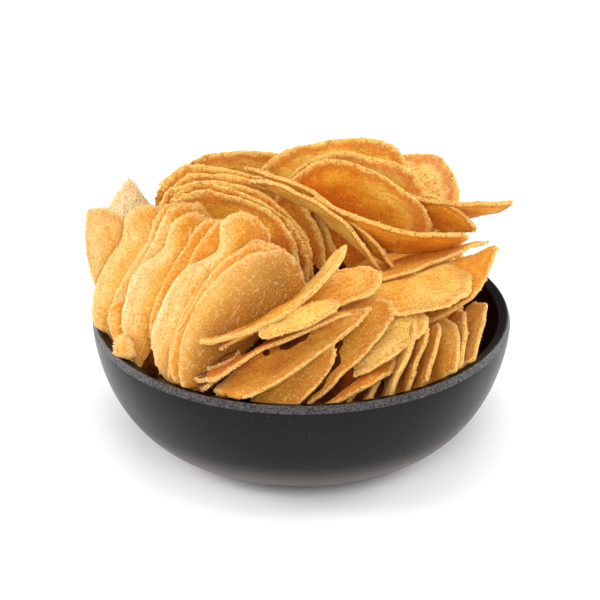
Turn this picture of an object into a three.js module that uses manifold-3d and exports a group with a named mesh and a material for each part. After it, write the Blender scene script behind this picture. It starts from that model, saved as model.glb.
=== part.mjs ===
// A round bowl heaped with large, thin, oval potato crisps. Millimetres, +Z up, front towards -Y.
// The origin is the middle of the flat foot that the bowl stands on.
// The bowl is one turned solid. The heap is one solid: the crisps that show, fused to a low core.
import * as THREE from 'three';
import { mergeVertices } from 'three/addons/utils/BufferGeometryUtils.js';
import Module from 'manifold-3d';

const wasm = await Module();
wasm.setup();

// bowl
const bowlRadius = 80; // widest, at the belly just under the rim
const bowlHeight = 50;
const bellyHeight = 47.2; // where the side ends and the narrow upright band starts
const footRadius = 33.2;
const ridgeRadius = 79.3; // sharp outer edge of the rim
const rimWidth = 3.8;
const rimFall = 0.7; // the rim's top slopes gently inwards
const wallThickness = 4.2;
const floorThickness = 6;
const sideCurve = 1.54; // exponents of the side's superellipse
const sideRoundness = 2.84;
const sideRings = 8;
const turnSegments = 48;

// crisps
const crispThickness = 2.1;
const outlineSquareness = 2.3; // 2 is an ellipse, more is squarer
const edgeBluntness = 14;
const wallGap = 0.35;
const gridLines = [-1, -0.5, 0.5, 1]; // few and flat facets
const tipPlay = 0.7; // how unevenly the tips of a fan lie
const waveCycles = 1.5; // waves along a rippled crisp, unless its fan says otherwise
const waveShift = 0.65; // a ripple is deepest at one long edge
const pointSharpness = 1.5; // how late a pointed crisp starts to narrow
const waistAt = 0.5; // where a nipped crisp is narrowest, from -1 at a to 1 at b
const waistSpan = 0.25;
const brimFlare = 3; // how much more room there is for each millimetre above the brim
const shortestEdge = 0.05; // slivers finer than this are closed up

// core under the crisps
const coreLevel = 34; // fills the bowl up to here
const mounds = [
  { middle: [-2, 2], radius: 62, top: 56 },
  { middle: [-8, 22], radius: 42, top: 84 }, // under the tall stacks
  { middle: [-33, -31], radius: 30, top: 70 }, // behind the left fan
  { middle: [3, -41], radius: 32, top: 71 }, // under the front
];
const moundCurve = 1.8;
const moundFoot = 22; // reaches down into the fill
const fillRings = 4;
const moundRings = 5;

// The crisps are laid out as someone at the table meets them, in front of the bowl and above it.
const eyeElevation = THREE.MathUtils.degToRad(25.76);
const eyeDistance = 1145;

// Each fan has one crisp or several, from its first to its last. Tips a and b are given as
// [right, up, deep]: right and up across the line of sight through the middle of the rim, deep
// along Y. roll turns the crisp about its length, from facing the eye. bow and cup curve it along
// and across, wave ripples its edge and cycles counts the waves, twist warps it, sway and bend
// curve its outline, egg makes the b end narrower, point brings it to a point and waist nips in one
// long side near it. Fans of the other sides are turned about the bowl's axis after that.
const fans = {
  leftTip: { a: [[-65, -5, -8]], b: [[-79.5, 40, 2]],
    roll: [5], width: [22], bow: 2, cup: -2, bend: -2, point: 0.35 },
  leftPoint: { a: [[-64, 0, 8]], b: [[-66, 51, 14]],
    roll: [5], width: [27], bow: 3, cup: -3, point: 0.75 },
  leftWide: { a: [[-64, -16, -22]], b: [[-57, 41, -3]],
    roll: [0], width: [33], bow: 3, cup: -6, sway: -2, egg: 0.15, waist: 2.5 },
  leftSlices: { count: 2, a: [[-58, -20, -27], [-55, -22, -32]],
    b: [[-47, 41, -7], [-42, 42, -10.5]], roll: [-14], width: [28], bow: 2, cup: -5, sway: -2, waist: 2 },
  leftLow: { a: [[-60, -22, -35]], b: [[-71, 4, -27]], roll: [10], width: [12], bow: 1, cup: -1 },
  leftLobe: { a: [[-57, -24, -40.5]], b: [[-39.5, 37, -17.5]],
    roll: [-10], width: [33], bow: 2, cup: -6, egg: 0.15, waist: 5.5 },
  leftEdges: { count: 2, a: [[-50, -26, -45], [-47, -27, -49]],
    b: [[-31, 36, -21], [-25, 35, -24.5]], roll: [-12], width: [26], bow: 2, cup: -5, sway: -1.5 },
  leftSecond: { a: [[-48.5, -28, -53.5]], b: [[-18, 36.5, -29]],
    roll: [-10], width: [33], bow: 2, cup: -6, egg: 0.1, waist: 8.5 },
  leftBands: { count: 2, a: [[-46, -30, -58.5], [-45, -30, -62]],
    b: [[-10, 25.5, -35], [-7, 24.5, -38.5]], roll: [-10], width: [28], bow: 2, cup: -6, bend: 1 },
  leftFront: { a: [[-45, -31, -66]], b: [[-4, 21, -43]],
    roll: [-10], width: [24], bow: 2, cup: -6, sway: -1.5, bend: 3.5, egg: -0.45 },
  archFront: { count: 3, a: [[-52, 38, 12], [-53, 41, 18]], b: [[0, 8, -15], [4, 11, -10]],
    roll: [-42, -40], width: [40, 41], bow: -6, cup: -1, sway: 1 },
  archMiddle: { count: 2, a: [[-53.5, 43, 23], [-54, 45, 27]], b: [[10, 14, -5], [13, 16, -1]],
    roll: [-37], width: [43], bow: -6, cup: -1, sway: 1 },
  archUnder: { a: [[-10, 21, 7]], b: [[34, 16, 2]], roll: [-15], width: [26], bow: -2 },
  archBack: { a: [[-55, 38, 35]], b: [[8, 42, 28]], roll: [-30], width: [44], bow: -5 },
  edgeUpper: { a: [[35, 16.5, -18]], b: [[-22, 55, 12]],
    roll: [78], width: [16], bow: -5, point: 0.8 },
  edgeLower: { a: [[29.5, 16.5, -21]], b: [[-20, 50, 5]],
    roll: [76], width: [17], bow: -5.5, point: 0.8 },
  rightFace: { a: [[-10, 41, 5]], b: [[50, 28, 7]],
    roll: [-35], width: [38], bow: -8, cup: -1, sway: -1, egg: 0.25 },
  rightNext: { a: [[-9, 40, 14]], b: [[50, 37.5, 14]], roll: [-25], width: [42], bow: -5, wave: 2 },
  rightBack: { a: [[-18, 44, 22]], b: [[43, 46, 23]],
    roll: [-8], width: [42], bow: -2, wave: 3, cycles: 1.6, sway: 1.5 },
  rightLobe: { a: [[12, 34, 28]], b: [[60, 49, 33]], roll: [10], width: [36], bow: -2, wave: 2 },
  rightUnder: { a: [[5, 42, -4]], b: [[64, 28, -5]], roll: [-64], width: [18], bow: 8 },
  rightBeak: { a: [[36, 44, 19]], b: [[81, 41, 14]], roll: [-72], width: [18], bow: 4, point: 0.3 },
  rightPoint: { a: [[42, 43, 17]], b: [[67, 31, 10]],
    roll: [-50], width: [17], bow: 1, point: 0.6 },
  lyingEdge: { a: [[2, 7, -20]], b: [[71.5, 26.5, 0]],
    roll: [74], width: [30], bow: 1, point: 0.85 },
  lyingPale: { a: [[12, 3, -33]], b: [[65, 13.5, -22]],
    roll: [61], width: [39], bow: 2, cup: -2, egg: -0.2 },
  lyingTip: { a: [[22, -9, -32]], b: [[75.5, 25.5, -12]],
    roll: [48], width: [32], bow: -2, point: 0.75 },
  crossing: { a: [[-39, -12.5, -68]], b: [[17, 25, -38]], roll: [80], width: [15], bow: -7 },
  twisted: { a: [[-31, -15, -66]], b: [[30, 14, -38]],
    roll: [58], width: [15], wave: 1.5, cycles: 1.4, twist: 5, bend: 4, egg: -0.45 },
  wavy: { a: [[-37, -28, -68]], b: [[26, 1.5, -46]], roll: [78], width: [16], bow: 4, wave: 2 },
  frontLong: { a: [[-33, -33, -70]], b: [[27, 1.5, -52]],
    roll: [48], width: [17], bow: -1, egg: 0.4, point: 0.4 },
  frontRound: { a: [[-18, -41, -73]], b: [[11.5, -11, -59]], roll: [25], width: [19], bow: 1 },
  frontBig: { a: [[-12, -37, -66]], b: [[34, 3.5, -46]], roll: [36], width: [24], bow: 1, sway: 1 },
  frontPale: { a: [[13, -23, -58]], b: [[46.5, -0.5, -42.5]], roll: [42], width: [24], bow: 2 },
  frontLow: { a: [[2, -36, -66]], b: [[36, -18, -55]], roll: [56], width: [17] },
  standLow: { count: 2, a: [[10, -48, -63], [18, -47, -62]], b: [[22, -27, -58], [30, -24, -55]],
    roll: [78], width: [20], bow: 1 },
  standMiddle: { count: 3, a: [[27, -44, -60], [40, -42, -56]], b: [[43, -3, -46], [52, -5, -41]],
    roll: [74], width: [25], bow: 1 },
  standFace: { a: [[46, -41, -50]], b: [[57, -4, -37]], roll: [55], width: [28], bow: 1 },
  standRight: { count: 2, a: [[52, -38, -45], [57, -34, -41]], b: [[62, 0, -30], [69, 4, -23]],
    roll: [70], width: [28], bow: 1 },
  backLeft: { turn: 180, count: 5, a: [[-44, -24, -48], [-2, -36, -70]],
    b: [[-34, 26, -28], [12, 14, -50]], roll: [-8], width: [36], bow: 2, cup: -3, egg: 0.2 },
  backLying: { turn: 180, count: 3, a: [[6, -35, -67], [28, -37, -61]],
    b: [[36, -4, -54], [60, -14, -48]], roll: [50], width: [30], bow: 2, wave: 1 },
  backRight: { turn: 180, count: 4, a: [[40, -38, -55], [61, -31, -37]],
    b: [[60, -2, -38], [75, 20, -8]], roll: [66], width: [30], bow: 2, cup: -2 },
  backTop: { turn: 180, count: 3, a: [[0, 4, -38], [6, -2, -54]], b: [[56, 10, -36], [60, 4, -52]],
    roll: [45], width: [36], bow: 3, wave: 1 },
  valley: { count: 2, a: [[-42, 16, 4], [-32, 7, -13]], b: [[-3, 8, -17], [10, -2, -32]],
    roll: [40], width: [23], bow: 2, wave: 1 },
  leftLying: { turn: 270, count: 2, a: [[-16, -33, -55], [2, -33, -57]],
    b: [[-6, -6, -42], [10, -6, -44]], roll: [60], width: [28], bow: 2, wave: 1 },
  sideLying: { turn: 90, count: 4, a: [[-22, -34, -57], [30, -33, -55]],
    b: [[0, -6, -32], [50, -6, -38]], roll: [60], width: [34], bow: 2, wave: 1 },
};

// Outer radius of the bowl's side at height z: a superellipse from the foot to the belly.
function sideRadius(z) {
  const depth = THREE.MathUtils.clamp(1 - z / bellyHeight, 0, 1);
  return footRadius + (bowlRadius - footRadius) * (1 - depth ** sideCurve) ** (1 / sideRoundness);
}

// Heights of the rings of a curved side, closer together near the foot, where it turns fastest.
function ringHeights(from, to, rings) {
  const heights = [];
  for (let i = 0; i <= rings; i++) {
    heights.push(from + (to - from) * (1 - Math.cos((i / rings) * Math.PI / 2)));
  }
  return heights;
}

// Profile of the bowl, grown on all sides by a margin, from the axis below to the axis above.
function bowlProfile(margin) {
  const profile = [[0, -margin]];
  for (const z of ringHeights(0, bellyHeight, sideRings)) {
    profile.push([sideRadius(z) + margin, z === 0 ? -margin : z]);
  }
  profile.push([ridgeRadius + margin, bowlHeight + margin]);
  profile.push([ridgeRadius - rimWidth - margin, bowlHeight - rimFall + margin]);
  for (const z of ringHeights(floorThickness, bellyHeight, sideRings).reverse().slice(1)) {
    profile.push([sideRadius(z) - wallThickness - margin, z === floorThickness ? z + margin : z]);
  }
  profile.push([0, floorThickness + margin]);
  return profile;
}

function lathe(profile) {
  const points = profile.map(([radius, height]) => new THREE.Vector2(radius, height));
  return new THREE.LatheGeometry(points, turnSegments).rotateX(Math.PI / 2);
}

// A closed solid from a geometry: shared corners merged, triangles of no area dropped.
function solidOf(geometry) {
  geometry.deleteAttribute('normal');
  geometry.deleteAttribute('uv');
  const merged = mergeVertices(geometry, 1e-4);
  const triVerts = [];
  for (let i = 0; i < merged.index.count; i += 3) {
    const [p, q, r] = [0, 1, 2].map((k) => merged.index.getX(i + k));
    if (p !== q && q !== r && r !== p) triVerts.push(p, q, r);
  }
  const vertProperties = new Float32Array(merged.attributes.position.array);
  const mesh = new wasm.Mesh({ numProp: 3, vertProperties, triVerts: new Uint32Array(triVerts) });
  return new wasm.Manifold(mesh);
}

function geometryOf(solid) {
  const mesh = solid.getMesh();
  const geometry = new THREE.BufferGeometry();
  geometry.setAttribute('position', new THREE.BufferAttribute(mesh.vertProperties, 3));
  geometry.setIndex(new THREE.BufferAttribute(mesh.triVerts, 1));
  geometry.computeVertexNormals();
  return geometry;
}

// A small seeded generator of numbers from 0 to 1, so that every build is the same.
function randomFrom(seed) {
  let state = seed * 7919 + 17;
  return () => {
    state = (state * 16807) % 2147483647;
    return state / 2147483647;
  };
}

// Where the sight line through (right, up), on the plane through the rim's middle, reaches Y = deep.
function tipAt([right, up, deep]) {
  const [sin, cos] = [Math.sin(eyeElevation), Math.cos(eyeElevation)];
  const eye = new THREE.Vector3(0, -cos * eyeDistance, bowlHeight + sin * eyeDistance);
  const onPlane = new THREE.Vector3(right, up * sin, bowlHeight + up * cos);
  return eye.clone().lerp(onPlane, (deep - eye.y) / (onPlane.y - eye.y));
}

const mix = (range, t) => THREE.MathUtils.lerp(range[0], range.at(-1), t);
const mixTips = (range, t) => range[0].map((value, k) => mix([value, range.at(-1)[k]], t));

// The crisps of one fan, each with its tips, the way it faces and its curves.
function crispsOf(fan, firstSeed) {
  const count = fan.count ?? 1;
  const crisps = [];
  for (let i = 0; i < count; i++) {
    const t = count > 1 ? i / (count - 1) : 0;
    const random = randomFrom(firstSeed + i);
    const play = () => (count > 1 ? (2 * random() - 1) * tipPlay : 0);
    const a = tipAt(mixTips(fan.a, t)).add(new THREE.Vector3(play(), play(), play()));
    const b = tipAt(mixTips(fan.b, t)).add(new THREE.Vector3(play(), play(), play()));
    const along = b.clone().sub(a).normalize();
    const eye = tipAt([0, 0, -Math.cos(eyeElevation) * eyeDistance]);
    const toEye = eye.sub(a.clone().add(b).multiplyScalar(0.5)).projectOnPlane(along).normalize();
    const facing = toEye.applyAxisAngle(along, -THREE.MathUtils.degToRad(mix(fan.roll, t)));
    const turn = THREE.MathUtils.degToRad(fan.turn ?? 0);
    for (const vector of [a, b, facing]) vector.applyAxisAngle(new THREE.Vector3(0, 0, 1), turn);
    const plain = { bow: 0, cup: 0, wave: 0, cycles: waveCycles, twist: 0, sway: 0, bend: 0,
      egg: 0, point: 0, waist: 0 };
    crisps.push({ ...plain, ...fan, a, b, facing, width: mix(fan.width, t) });
  }
  return crisps;
}

// Largest radius for the middle of a crisp at height z: inside the wall, and free above the rim.
function roomInside(z) {
  const height = THREE.MathUtils.clamp(z, floorThickness, bowlHeight);
  const flare = brimFlare * Math.max(0, z - bowlHeight);
  return sideRadius(height) - wallThickness - crispThickness / 2 - wallGap + flare;
}

// The middle surface of a crisp. x runs along it and y across it, from -1 to 1.
function middleOf(crisp, x, y) {
  const { a, b, facing, width, bow, cup, wave, cycles, twist, sway, bend } = crisp;
  const along = b.clone().sub(a);
  const across = facing.clone().cross(along).normalize();
  const taper = (1 - crisp.egg * x) * (1 - crisp.point * Math.max(0, x) ** pointSharpness);
  const nip = crisp.waist * Math.max(0, y) * Math.exp(-(((x - waistAt) / waistSpan) ** 2));
  const side = y * taper * width / 2 + sway * Math.sin(Math.PI * x) + bend * (1 - x * x) - nip;
  const lift = bow * (1 - x * x) + cup * y * y + twist * x * y
    + wave * Math.sin(cycles * Math.PI * x) * (1 - waveShift + waveShift * y);
  const point = a.clone().addScaledVector(along, (x + 1) / 2);
  point.addScaledVector(across, side).addScaledVector(facing, lift);
  const radius = Math.hypot(point.x, point.y);
  const shrink = Math.min(1, roomInside(point.z) / Math.max(radius, 1));
  return new THREE.Vector3(point.x * shrink, point.y * shrink, point.z);
}

// One crisp: a square grid pressed into a rounded outline, with a face on each side of its middle
// surface. The faces meet along the outline.
function crispGeometry(crisp) {
  const last = gridLines.length - 1;
  const positions = [];
  const triangles = [];
  const step = 0.02;
  const corner = (i, j, sign) => {
    const [u, v] = [gridLines[i], gridLines[j]];
    const [cx, cy] = [u * Math.sqrt(1 - v * v / 2), v * Math.sqrt(1 - u * u / 2)];
    const rho = Math.hypot(cx, cy);
    const angle = Math.atan2(cy, cx);
    const p = outlineSquareness;
    const reach = (Math.abs(Math.cos(angle)) ** p + Math.abs(Math.sin(angle)) ** p) ** (-1 / p);
    const [x, y] = [cx * reach, cy * reach];
    const point = middleOf(crisp, x, y);
    const slopeX = middleOf(crisp, x + step, y).sub(middleOf(crisp, x - step, y));
    const slopeY = middleOf(crisp, x, y + step).sub(middleOf(crisp, x, y - step));
    const half = crispThickness / 2 * Math.sqrt(Math.max(0, 1 - rho ** edgeBluntness));
    point.addScaledVector(slopeX.cross(slopeY).normalize(), sign * half);
    positions.push(point.x, point.y, point.z);
    return positions.length / 3 - 1;
  };
  for (const sign of [1, -1]) {
    const grid = gridLines.map((_, i) => gridLines.map((_, j) => corner(i, j, sign)));
    for (let i = 0; i < last; i++) {
      for (let j = 0; j < last; j++) {
        const quad = [grid[i][j], grid[i + 1][j], grid[i + 1][j + 1], grid[i][j + 1]];
        if (sign < 0) quad.reverse();
        triangles.push(quad[0], quad[1], quad[2], quad[0], quad[2], quad[3]);
      }
    }
  }
  const geometry = new THREE.BufferGeometry();
  geometry.setAttribute('position', new THREE.BufferAttribute(new Float32Array(positions), 3));
  geometry.setIndex(triangles);
  return geometry;
}

// What the crisps lie on: it fills the bowl to a low level, with mounds under the tall fans.
function coreSolid() {
  const gap = wallThickness + wallGap;
  const fill = [[0, floorThickness + wallGap]];
  for (const z of ringHeights(floorThickness, coreLevel, fillRings)) {
    fill.push([sideRadius(z) - gap, Math.max(z, floorThickness + wallGap)]);
  }
  fill.push([0, coreLevel]);
  let core = solidOf(lathe(fill));
  for (const { middle, radius, top } of mounds) {
    const profile = [[0, moundFoot], [radius, moundFoot]];
    for (const z of ringHeights(0, top - coreLevel, moundRings)) {
      const height = z / (top - coreLevel);
      if (height < 1) profile.push([radius * Math.sqrt(1 - height ** moundCurve), coreLevel + z]);
    }
    profile.push([0, top]);
    core = core.add(solidOf(lathe(profile).translate(middle[0], middle[1], 0)));
  }
  return core;
}

// All the crisps and the core fused, clear of the bowl, without loose scraps and sealed hollows.
function heapSolid() {
  let heap = coreSolid();
  let seed = 1;
  for (const fan of Object.values(fans)) {
    for (const crisp of crispsOf(fan, seed)) {
      heap = heap.add(solidOf(crispGeometry(crisp)));
      seed += 1;
    }
  }
  heap = heap.subtract(solidOf(lathe(bowlProfile(wallGap))));
  const shells = heap.simplify(shortestEdge).decompose();
  return shells.reduce((largest, shell) => (shell.volume() > largest.volume() ? shell : largest));
}

const glaze = new THREE.MeshStandardMaterial({ color: 0x2b2b2e, roughness: 0.45, metalness: 0 });
const friedPotato = new THREE.MeshStandardMaterial({ color: 0xe0a050, roughness: 0.7, metalness: 0 });

const bowl = new THREE.Mesh(geometryOf(solidOf(lathe(bowlProfile(0)))), glaze);
bowl.name = 'bowl';
const crisps = new THREE.Mesh(geometryOf(heapSolid()), friedPotato);
crisps.name = 'crisps';

const part = new THREE.Group();
part.add(bowl, crisps);
export default part;
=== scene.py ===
import math

import bpy
import numpy as np
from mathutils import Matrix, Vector


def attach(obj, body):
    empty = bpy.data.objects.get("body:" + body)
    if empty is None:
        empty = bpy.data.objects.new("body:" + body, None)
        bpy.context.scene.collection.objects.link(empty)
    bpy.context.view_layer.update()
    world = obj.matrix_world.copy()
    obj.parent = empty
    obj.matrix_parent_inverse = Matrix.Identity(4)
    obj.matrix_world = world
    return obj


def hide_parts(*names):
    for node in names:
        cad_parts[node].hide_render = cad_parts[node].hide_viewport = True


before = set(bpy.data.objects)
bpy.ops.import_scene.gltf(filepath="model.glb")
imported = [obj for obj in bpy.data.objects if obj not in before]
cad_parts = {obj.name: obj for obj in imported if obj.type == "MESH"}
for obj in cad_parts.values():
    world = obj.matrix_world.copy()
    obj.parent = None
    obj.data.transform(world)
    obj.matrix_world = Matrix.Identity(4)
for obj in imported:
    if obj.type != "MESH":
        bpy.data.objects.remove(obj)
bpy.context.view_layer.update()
print("frame loaded:", sorted(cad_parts))

mm = 0.001  # the bowl, the crisps and the sizes of patterns are in millimetres, the meshes in metres


def makePiece(name, points, faces, material, nodes, values=None, uv=None):
    # points and uv in millimetres; values holds one number for each point under each attribute's name
    mesh = bpy.data.meshes.new(name)
    mesh.from_pydata((points * mm).tolist(), [], faces)
    mesh.update()
    mesh.polygons.foreach_set("use_smooth", np.ones(len(mesh.polygons), bool))
    for key, numbers in (values or {}).items():
        mesh.attributes.new(key, "FLOAT", "POINT").data.foreach_set("value", numbers)
    if uv is not None:
        corners = np.empty(len(mesh.loops), int)
        mesh.loops.foreach_get("vertex_index", corners)
        mesh.uv_layers.new(name="face").data.foreach_set("uv", (uv * mm)[corners].ravel())
    mesh.materials.append(material)
    piece = bpy.data.objects.new(name, mesh)
    bpy.context.scene.collection.objects.link(piece)
    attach(piece, "root")
    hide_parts(*nodes)
    print("made", name, len(faces), "faces")


def gridFaces(number):
    # the quads between neighbours in a grid of point numbers
    quads = [number[:-1, :-1], number[1:, :-1], number[1:, 1:], number[:-1, 1:]]
    return np.stack(quads, axis=-1).reshape(-1, 4)


def roundFaces(rows, segments, startsBelow=False):
    # faces of rows of points round Z: quads, and a fan of triangles to each pole. The poles are the two
    # points after the grid. Rows run down the outside, or up it if they start below.
    number = np.arange(rows * segments).reshape(rows, segments)
    quads = gridFaces(np.concatenate([number, number[:, :1]], axis=1))
    first, last = number[0], number[-1]
    pole = np.full(segments, rows * segments)
    near = np.stack([pole, first, np.roll(first, -1)], axis=1)
    far = np.stack([pole + 1, np.roll(last, -1), last], axis=1)
    if startsBelow:
        quads, near, far = quads[:, ::-1], near[:, [0, 2, 1]], far[:, [0, 2, 1]]
    return quads.tolist() + near.tolist() + far.tolist()


def colour(red, green, blue):
    # a colour seen on screen, 0 to 255, as the shader's linear one
    screen = np.array([red, green, blue]) / 255
    linear = np.where(screen <= 0.04045, screen / 12.92, ((screen + 0.055) / 1.055) ** 2.4)
    return (*linear.tolist(), 1.0)


def makeNode(tree, kind, inputs=None, **settings):
    # an input that is another node's output is linked, any other is set
    node = tree.nodes.new("ShaderNode" + kind)
    for key, value in settings.items():
        setattr(node, key, value)
    for key, value in (inputs or {}).items():
        if isinstance(value, bpy.types.NodeSocket):
            tree.links.new(value, node.inputs[key])
        else:
            node.inputs[key].default_value = value
    return node


def startMaterial(name, **constants):
    # a new material, with the shader's own numbers set by their names
    material = bpy.data.materials.new(name)
    material.use_nodes = True
    tree = material.node_tree
    shader = tree.nodes["Principled BSDF"]
    for key, value in constants.items():
        shader.inputs[key.replace("_", " ")].default_value = value
    return material, tree, shader


def attribute(tree, name):
    # the number that each point of the mesh holds under this name
    return makeNode(tree, "Attribute", attribute_name=name).outputs["Fac"]


def stretched(tree, where, scale):
    # the place with each axis multiplied by scale, so that a pattern there is squeezed by it
    return makeNode(tree, "Mapping", {"Vector": where, "Scale": scale}).outputs["Vector"]


def noise(tree, where, size, detail=3.0, roughness=0.5):
    # noise whose patches are about size millimetres across
    inputs = {"Vector": where, "Scale": 1 / (size * mm), "Detail": detail, "Roughness": roughness}
    return makeNode(tree, "TexNoise", inputs).outputs["Fac"]


def ramp(tree, value, low, high, start=0.0, end=1.0):
    # value from low to high becomes start to end, smoothly, and stays level outside
    inputs = {"Value": value, "From Min": low, "From Max": high, "To Min": start, "To Max": end}
    return makeNode(tree, "MapRange", inputs, interpolation_type="SMOOTHSTEP").outputs["Result"]


def combined(tree, operation, first, second=0.0):
    # one of the Math node's operations on two numbers
    return makeNode(tree, "Math", {0: first, 1: second}, operation=operation).outputs[0]


def swayed(tree, value, pattern, strength):
    # value + strength * (pattern - 0.5)
    offset = combined(tree, "MULTIPLY", combined(tree, "SUBTRACT", pattern, 0.5), strength)
    return combined(tree, "ADD", value, offset)


def blended(tree, factor, first, second):
    # first + factor * (second - first); inputs 6 and 7 and output 2 are the Mix node's colours
    inputs = {0: factor, 6: first, 7: second}
    return makeNode(tree, "Mix", inputs, data_type="RGBA", blend_type="MIX").outputs[2]


def bump(tree, height, depth, under=None):
    # depth is the relief in millimetres between a height of 0 and 1
    inputs = {"Height": height, "Distance": depth * mm, "Strength": 1.0}
    if under is not None:
        inputs["Normal"] = under
    return makeNode(tree, "Bump", inputs).outputs["Normal"]


# the bowl is one turned profile
bowl = {
    "radius": 80.0,  # at the belly
    "height": 50.0,
    "bellyHeight": 47.2,  # the narrow upright band starts here
    "footRadius": 33.2,
    "ridgeRadius": 79.3,  # sharp outer edge of the rim
    "bandSpare": 0.05,  # the band ends this much outside the ridge
    "rimWidth": 3.8,
    "rimFall": 0.7,  # the rim's top slopes inwards
    "wall": 4.2,
    "floor": 6.0,
    "sideCurve": 1.54,
    "sideRoundness": 2.84,
    "rounding": 0.45,
    "segments": 192,
    "rings": 72,
    "straightPoints": 6,
    "cornerPoints": 7,
}

glaze = {
    "ior": 1.27,
    "light": colour(8, 7, 8),
    "dark": colour(5, 4, 5),
    "clouds": {"size": 14, "detail": 4.0},
    "cloudRange": (0.35, 0.65),
    "roughness": (0.3, 0.7, 0.3, 0.36),  # from and to in the clouds, then the two roughnesses
    "grain": {"size": 0.7, "detail": 3.0},
    "grainDepth": 0.012,
    # the pale grey near the foot is a painted reflection of the white floor, between the two heights below
    "foot": colour(104, 97, 94),
    "floorReflectionFade": (22, 4),  # the heights where the paler foot starts and is full
    # brown inside: a painted reflection of the crisps in the dark glaze
    "inside": colour(40, 22, 14),
    "band": colour(92, 88, 88),
    "bandDark": colour(26, 25, 27),
    "bandInwards": (1.0, 0.5),  # inside the ridge's radius, where the band starts and is full
    "bandUpwards": (-0.1, 0.2),  # above the belly, where it starts and is full
    "bandRoughness": 0.12,  # added there
    "scratches": {"size": 1.1, "detail": 5.0, "roughness": 0.85},
    "scratchStretch": (1.0, 1.0, 1.6),
    "scratchRange": (0.4, 0.62),
    "scratchDepth": 0.05,
    "dust": colour(190, 186, 178),
    "dustGrains": {"size": 0.55, "detail": 1.0},
    "dustRange": (0.735, 0.76),
    "dustAmounts": (0.15, 0.6),  # on the body and on the band
}


def sideRadius(z):
    # superellipse: foot + (belly - foot) * (1 - depth^curve)^(1/roundness),
    # where depth is 1 at the foot and 0 at the belly
    depth = np.clip(1 - z / bowl["bellyHeight"], 0, 1)
    bulge = (1 - depth ** bowl["sideCurve"]) ** (1 / bowl["sideRoundness"])
    return bowl["footRadius"] + (bowl["radius"] - bowl["footRadius"]) * bulge


def bowlProfile():
    # (radius, height) from the middle of the foot, up the outside, over the rim and down to the middle
    # inside, and 1 for each point that lies inside. The rows' heights follow sin^2 of even steps.
    soft = bowl["rounding"]
    ridge, top = bowl["ridgeRadius"], bowl["height"]
    lip, lipTop = ridge - bowl["rimWidth"], top - bowl["rimFall"]
    rise = np.sin(np.linspace(0, math.pi / 2, bowl["rings"])) ** 2
    foot = [[0, 0], [bowl["footRadius"] / 2, 0]]
    side = np.stack([sideRadius(rise * bowl["bellyHeight"]), rise * bowl["bellyHeight"]], 1)
    bandEnds = (bowl["radius"], bowl["bellyHeight"]), (ridge + bowl["bandSpare"], top - soft)
    band = np.linspace(*bandEnds, bowl["straightPoints"])
    corner = np.linspace(0, math.pi / 2, bowl["cornerPoints"])
    ridgeArc = np.stack([ridge - soft + soft * np.cos(corner), top - soft + soft * np.sin(corner)], 1)
    flat = np.linspace((ridge - soft, top), (lip + soft, lipTop), bowl["straightPoints"])
    lipArc = np.stack([lip + soft - soft * np.sin(corner), lipTop - soft + soft * np.cos(corner)], 1)
    heights = bowl["floor"] + (1 - rise) * (lipTop - 2 * soft - bowl["floor"])
    inner = np.stack([np.minimum(sideRadius(heights) - bowl["wall"], lip), heights], 1)
    floor = [[inner[-1, 0] / 2, bowl["floor"]], [0, bowl["floor"]]]
    outside = np.concatenate([foot, side, band[1:], ridgeArc[1:], flat[1:], lipArc[1:]])
    inside = np.concatenate([inner, floor])
    return np.concatenate([outside, inside]), np.repeat([0.0, 1.0], [len(outside), len(inside)])


def turned(profile, segments):
    # every profile point swept round Z: (r cos angle, r sin angle, z), with one point at each pole
    angle = np.linspace(0, 2 * math.pi, segments, endpoint=False)
    ring = profile[1:-1]
    x = ring[:, :1] * np.cos(angle)
    y = ring[:, :1] * np.sin(angle)
    z = np.repeat(ring[:, 1:], segments, axis=1)
    points = np.stack([x, y, z], axis=-1).reshape(-1, 3)
    poles = [[0, 0, profile[0, 1]], [0, 0, profile[-1, 1]]]
    return np.concatenate([points, poles]), roundFaces(len(ring), segments, startsBelow=True)


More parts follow.
